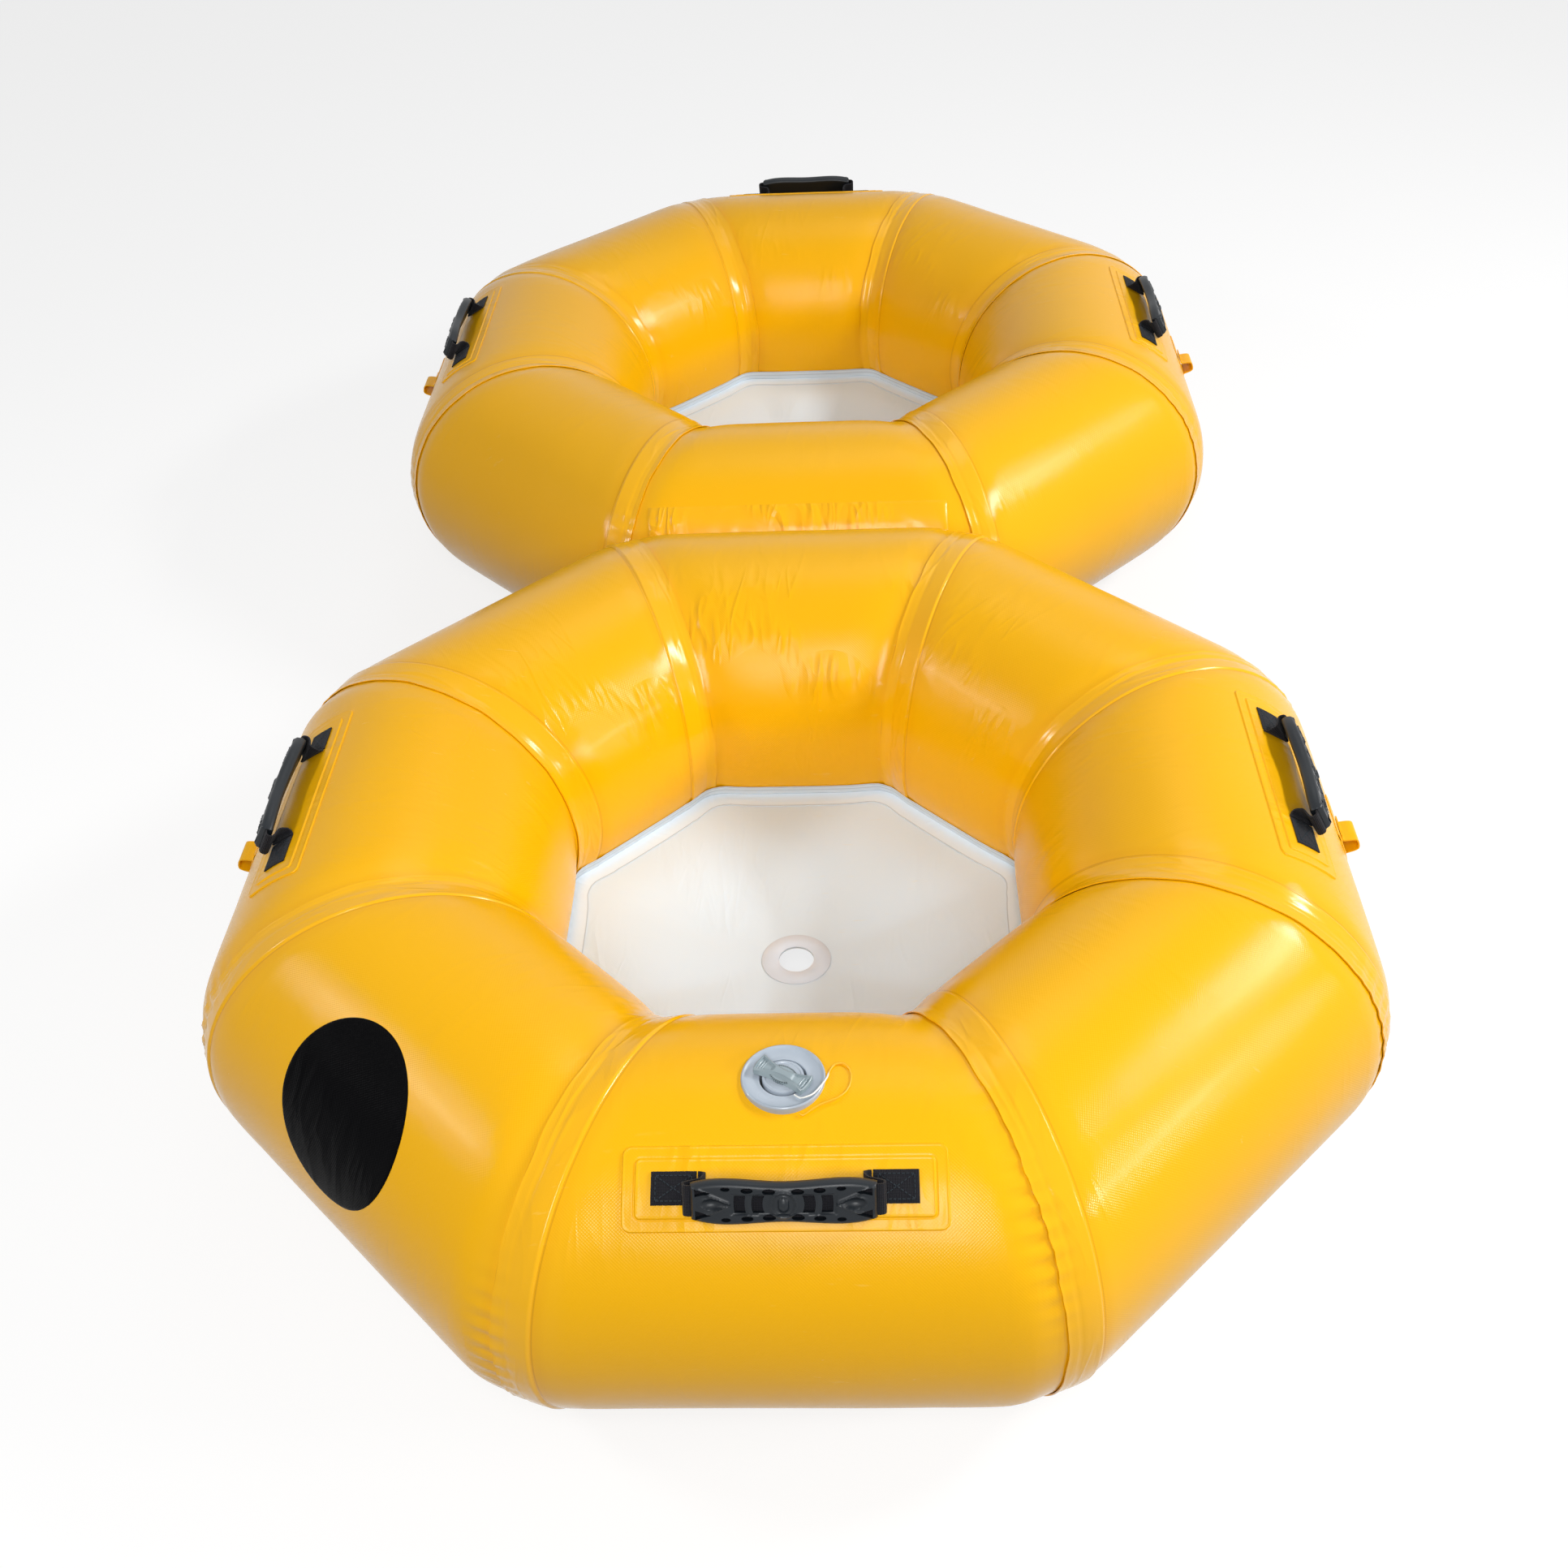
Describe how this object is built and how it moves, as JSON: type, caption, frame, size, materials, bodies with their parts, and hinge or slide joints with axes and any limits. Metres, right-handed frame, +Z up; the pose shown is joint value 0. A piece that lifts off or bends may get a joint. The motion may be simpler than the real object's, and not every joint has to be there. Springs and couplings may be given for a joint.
{
  "type": "river tube",
  "caption": "Inflatable river tube for two: two joined octagonal ring tubes with floors, carry handles, tie loops and an inflation valve.",
  "frame": {"origin": "on the ground, midway between the two rings, under the line where they press together", "axes": "+Y from the front ring, which has the valve, to the rear ring; +Z up; +X to the right when seen from the front ring's end"},
  "size_m": [1.2224, 2.3374, 0.362],
  "materials": {
    "yellow_fabric": "coated, satin",
    "white_fabric": "coated, matt",
    "milky_film": "milky, satin",
    "black_webbing": "woven",
    "black_moulding": "satin",
    "grey_plastic": "satin",
    "black_rubber": "matt",
    "white_cord": "smooth"
  },
  "bodies": {
    "hull": {"front_ring_tube_front": "yellow_fabric", "front_ring_tube_front_right": "yellow_fabric", "front_ring_tube_right": "yellow_fabric", "front_ring_tube_back_right": "yellow_fabric", "front_ring_tube_back": "yellow_fabric", "front_ring_tube_back_left": "yellow_fabric", "front_ring_tube_left": "yellow_fabric", "front_ring_tube_front_left": "yellow_fabric", "front_ring_floor": "white_fabric", "front_ring_floor_tape": "white_fabric", "front_ring_drain_ring": "milky_film", "front_ring_left_tie_loop": "yellow_fabric", "front_ring_right_tie_loop": "yellow_fabric", "rear_ring_tube_front": "yellow_fabric", "rear_ring_tube_front_right": "yellow_fabric", "rear_ring_tube_right": "yellow_fabric", "rear_ring_tube_back_right": "yellow_fabric", "rear_ring_tube_back": "yellow_fabric", "rear_ring_tube_back_left": "yellow_fabric", "rear_ring_tube_left": "yellow_fabric", "rear_ring_tube_front_left": "yellow_fabric", "rear_ring_floor": "white_fabric", "rear_ring_floor_tape": "white_fabric", "rear_ring_drain_ring": "milky_film", "rear_ring_left_tie_loop": "yellow_fabric", "rear_ring_right_tie_loop": "yellow_fabric", "top_joining_strip": "yellow_fabric", "bottom_joining_strip": "yellow_fabric", "front_ring_front_handle_patch": "yellow_fabric", "front_ring_left_handle_patch": "yellow_fabric", "front_ring_right_handle_patch": "yellow_fabric", "rear_ring_back_handle_patch": "yellow_fabric", "rear_ring_left_handle_patch": "yellow_fabric", "rear_ring_right_handle_patch": "yellow_fabric", "valve_base": "grey_plastic", "valve_collar": "grey_plastic", "valve_sleeve": "grey_plastic", "valve_backing_nut": "grey_plastic", "valve_flap_seat": "grey_plastic", "valve_flap": "black_rubber", "valve_tether": "white_cord"},
    "front_ring_front_handle": {"front_ring_front_handle_strap": "black_webbing", "front_ring_front_handle_grip": "black_moulding"},
    "front_ring_left_handle": {"front_ring_left_handle_strap": "black_webbing", "front_ring_left_handle_grip": "black_moulding"},
    "front_ring_right_handle": {"front_ring_right_handle_strap": "black_webbing", "front_ring_right_handle_grip": "black_moulding"},
    "rear_ring_back_handle": {"rear_ring_back_handle_strap": "black_webbing", "rear_ring_back_handle_grip": "black_moulding"},
    "rear_ring_left_handle": {"rear_ring_left_handle_strap": "black_webbing", "rear_ring_left_handle_grip": "black_moulding"},
    "rear_ring_right_handle": {"rear_ring_right_handle_strap": "black_webbing", "rear_ring_right_handle_grip": "black_moulding"},
    "valve_washer": {"valve_seal_washer": "black_rubber"},
    "valve_cap": {"valve_plug": "grey_plastic"}
  },
  "joints": [
    {"name": "front_ring_front_handle_swing", "type": "hinge", "parent": "hull", "child": "front_ring_front_handle", "pos_m": [0.009, -1.08874, 0.32803], "axis": [-1, 0, 0], "range_deg": [-4, 70], "deforming": ["front_ring_front_handle_strap"]},
    {"name": "front_ring_left_handle_swing", "type": "hinge", "parent": "hull", "child": "front_ring_left_handle", "pos_m": [-0.51984, -0.5689, 0.32803], "axis": [0, 1, 0], "range_deg": [-4, 70], "deforming": ["front_ring_left_handle_strap"]},
    {"name": "front_ring_right_handle_swing", "type": "hinge", "parent": "hull", "child": "front_ring_right_handle", "pos_m": [0.51984, -0.5689, 0.32803], "axis": [0, -1, 0], "range_deg": [-4, 70], "deforming": ["front_ring_right_handle_strap"]},
    {"name": "rear_ring_back_handle_swing", "type": "hinge", "parent": "hull", "child": "rear_ring_back_handle", "pos_m": [0, 1.08874, 0.32803], "axis": [1, 0, 0], "range_deg": [-4, 70], "deforming": ["rear_ring_back_handle_strap"]},
    {"name": "rear_ring_left_handle_swing", "type": "hinge", "parent": "hull", "child": "rear_ring_left_handle", "pos_m": [-0.51984, 0.5689, 0.32803], "axis": [0, 1, 0], "range_deg": [-4, 70], "deforming": ["rear_ring_left_handle_strap"]},
    {"name": "rear_ring_right_handle_swing", "type": "hinge", "parent": "hull", "child": "rear_ring_right_handle", "pos_m": [0.51984, 0.5689, 0.32803], "axis": [0, -1, 0], "range_deg": [-4, 70], "deforming": ["rear_ring_right_handle_strap"]},
    {"name": "valve_lift", "type": "slide", "parent": "hull", "child": "valve_washer", "axis": [0, 0, 1], "range_m": [0, 0.002]},
    {"name": "valve_turn", "type": "hinge", "parent": "valve_washer", "child": "valve_cap", "pos_m": [0.0067, -0.9922, 0.3515], "axis": [0, 0, 1], "range_deg": [0, 90]}
  ],
  "couplings": [
    {"joint": "valve_lift", "follows": "valve_turn", "m_per_rad": 0.001273}
  ]
}
